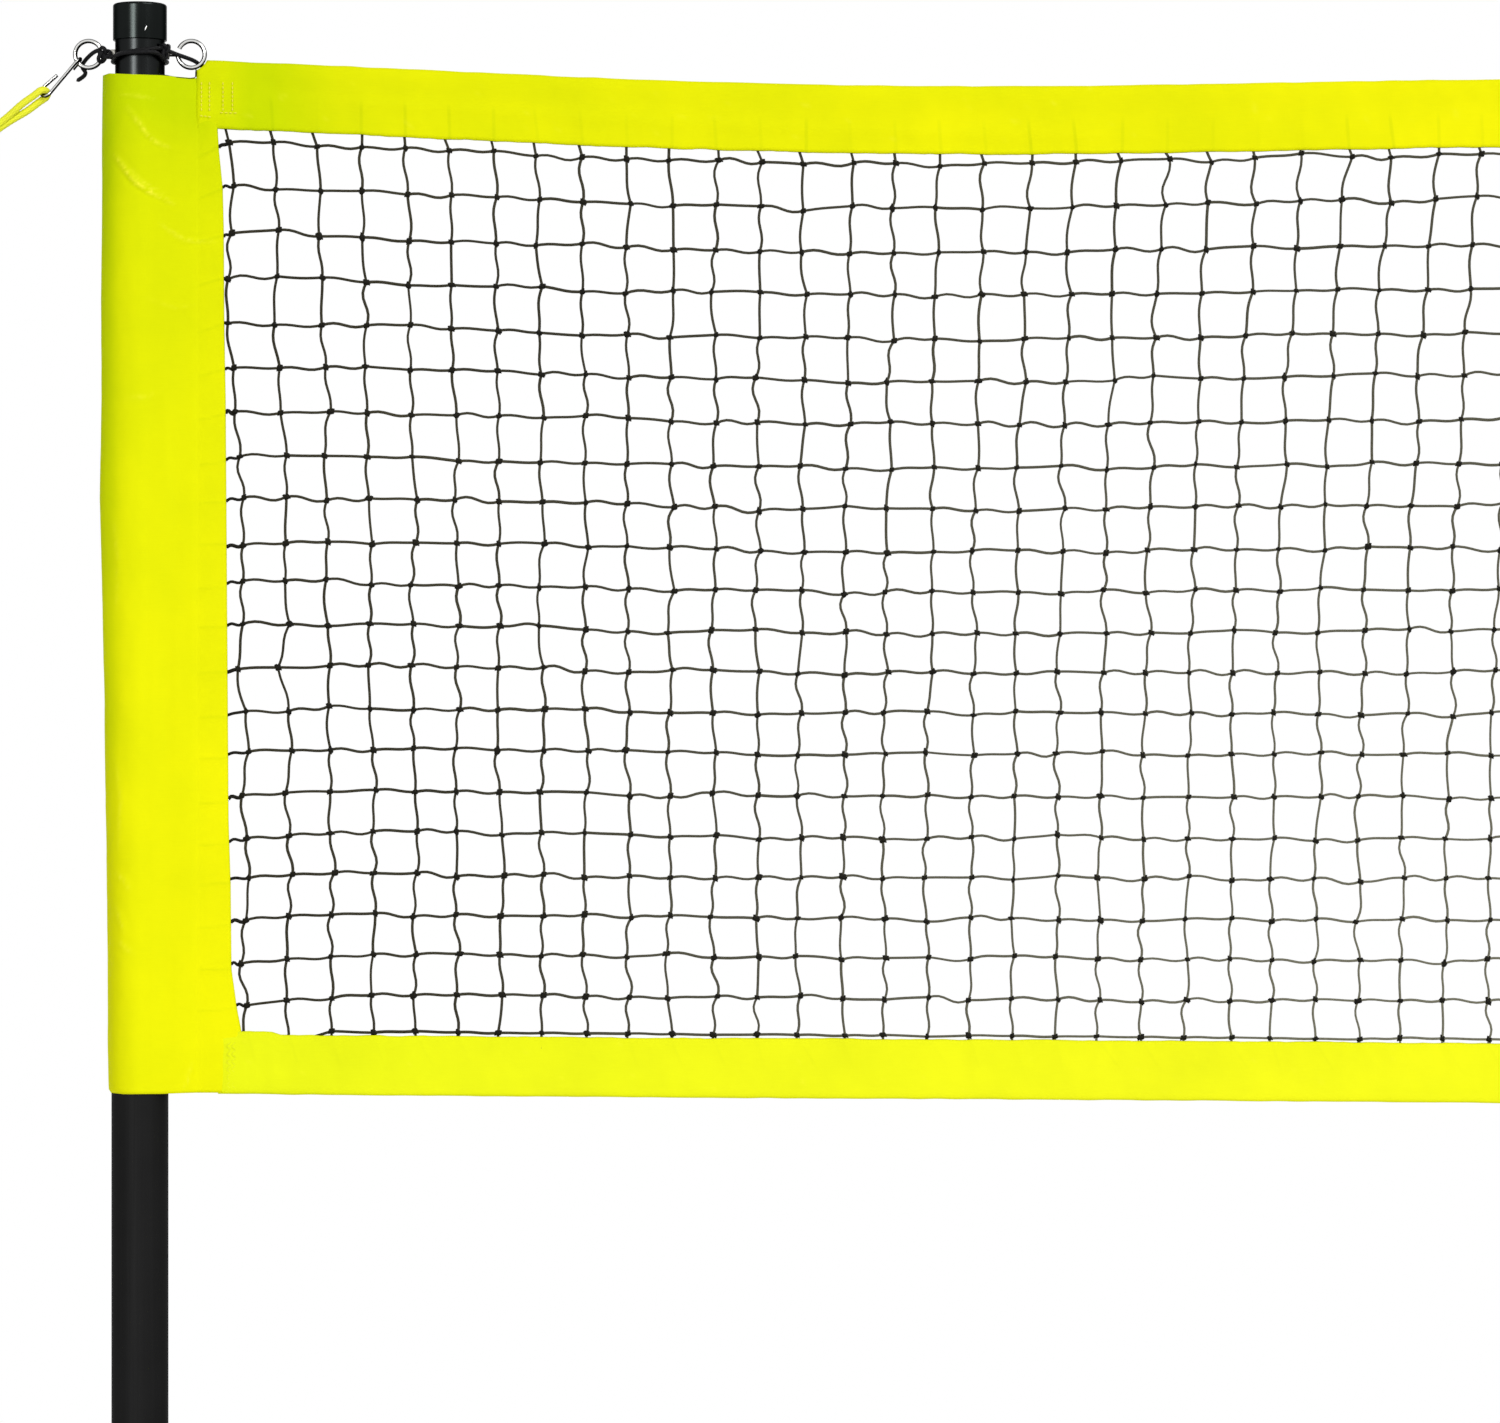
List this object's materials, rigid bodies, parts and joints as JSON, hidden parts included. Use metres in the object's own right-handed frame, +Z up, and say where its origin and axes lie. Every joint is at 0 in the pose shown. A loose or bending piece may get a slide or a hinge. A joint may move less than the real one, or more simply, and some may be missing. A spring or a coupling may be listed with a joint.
{
  "type": "volleyball net on poles",
  "caption": "Volleyball net on sectional poles: knotted mesh with vinyl tapes and pole sleeves, eye bolts, snap buttons, and guy ropes with hooks and ring stakes.",
  "frame": {"origin": "centre of the left pole's foot, on the ground", "axes": "+X along the net to the right pole, +Y away from the viewer, +Z up along the poles"},
  "size_m": [16.522, 2.2124, 2.657],
  "materials": {
    "tube": "satin powder coat",
    "flange": "satin powder coat",
    "cap": "satin moulded",
    "plastic": "moulded",
    "zinc": "bright plated wire",
    "steel": "polished",
    "stake": "plated rod",
    "rope": "braided rope",
    "cord": "braided cord",
    "tape": "vinyl coated cloth",
    "twine": "knotted twine"
  },
  "bodies": {
    "root": {"left_top_section": "tube", "left_mid_section": "tube", "left_base_section": "tube", "left_base_flange": "flange", "left_foot_plug": "plastic", "left_top_cap": "cap", "left_outer_eye_bolt": "zinc", "left_inner_eye_bolt": "zinc", "left_eye_nuts": "zinc", "left_upper_spring": "steel", "left_lower_spring": "steel", "left_s_hook": "zinc", "left_guy_rope": "rope", "left_front_stake": "stake", "left_back_stake": "stake", "left_sleeve": "tape", "left_tie_cord": "cord", "right_top_section": "tube", "right_mid_section": "tube", "right_base_section": "tube", "right_base_flange": "flange", "right_foot_plug": "plastic", "right_top_cap": "cap", "right_outer_eye_bolt": "zinc", "right_inner_eye_bolt": "zinc", "right_eye_nuts": "zinc", "right_upper_spring": "steel", "right_lower_spring": "steel", "right_s_hook": "zinc", "right_guy_rope": "rope", "right_front_stake": "stake", "right_back_stake": "stake", "right_sleeve": "tape", "right_tie_cord": "cord", "net_uprights": "twine", "net_rows": "twine", "top_band": "tape", "bottom_band": "tape", "headline_cord": "cord"},
    "left_upper_button": {"left_upper_button": "steel"},
    "left_lower_button": {"left_lower_button": "steel"},
    "right_upper_button": {"right_upper_button": "steel"},
    "right_lower_button": {"right_lower_button": "steel"}
  },
  "joints": [
    {"name": "left_upper_button_press", "type": "slide", "parent": "root", "child": "left_upper_button", "axis": [-1, 0, 0], "range_m": [0, 0.0068], "stiffness_N_per_m": 1200, "springref_m": -0.004, "deforming": ["left_upper_spring"]},
    {"name": "left_lower_button_press", "type": "slide", "parent": "root", "child": "left_lower_button", "axis": [-1, 0, 0], "range_m": [0, 0.0068], "stiffness_N_per_m": 1200, "springref_m": -0.004, "deforming": ["left_lower_spring"]},
    {"name": "right_upper_button_press", "type": "slide", "parent": "root", "child": "right_upper_button", "axis": [1, 0, 0], "range_m": [0, 0.0068], "stiffness_N_per_m": 1200, "springref_m": -0.004, "deforming": ["right_upper_spring"]},
    {"name": "right_lower_button_press", "type": "slide", "parent": "root", "child": "right_lower_button", "axis": [1, 0, 0], "range_m": [0, 0.0068], "stiffness_N_per_m": 1200, "springref_m": -0.004, "deforming": ["right_lower_spring"]}
  ]
}
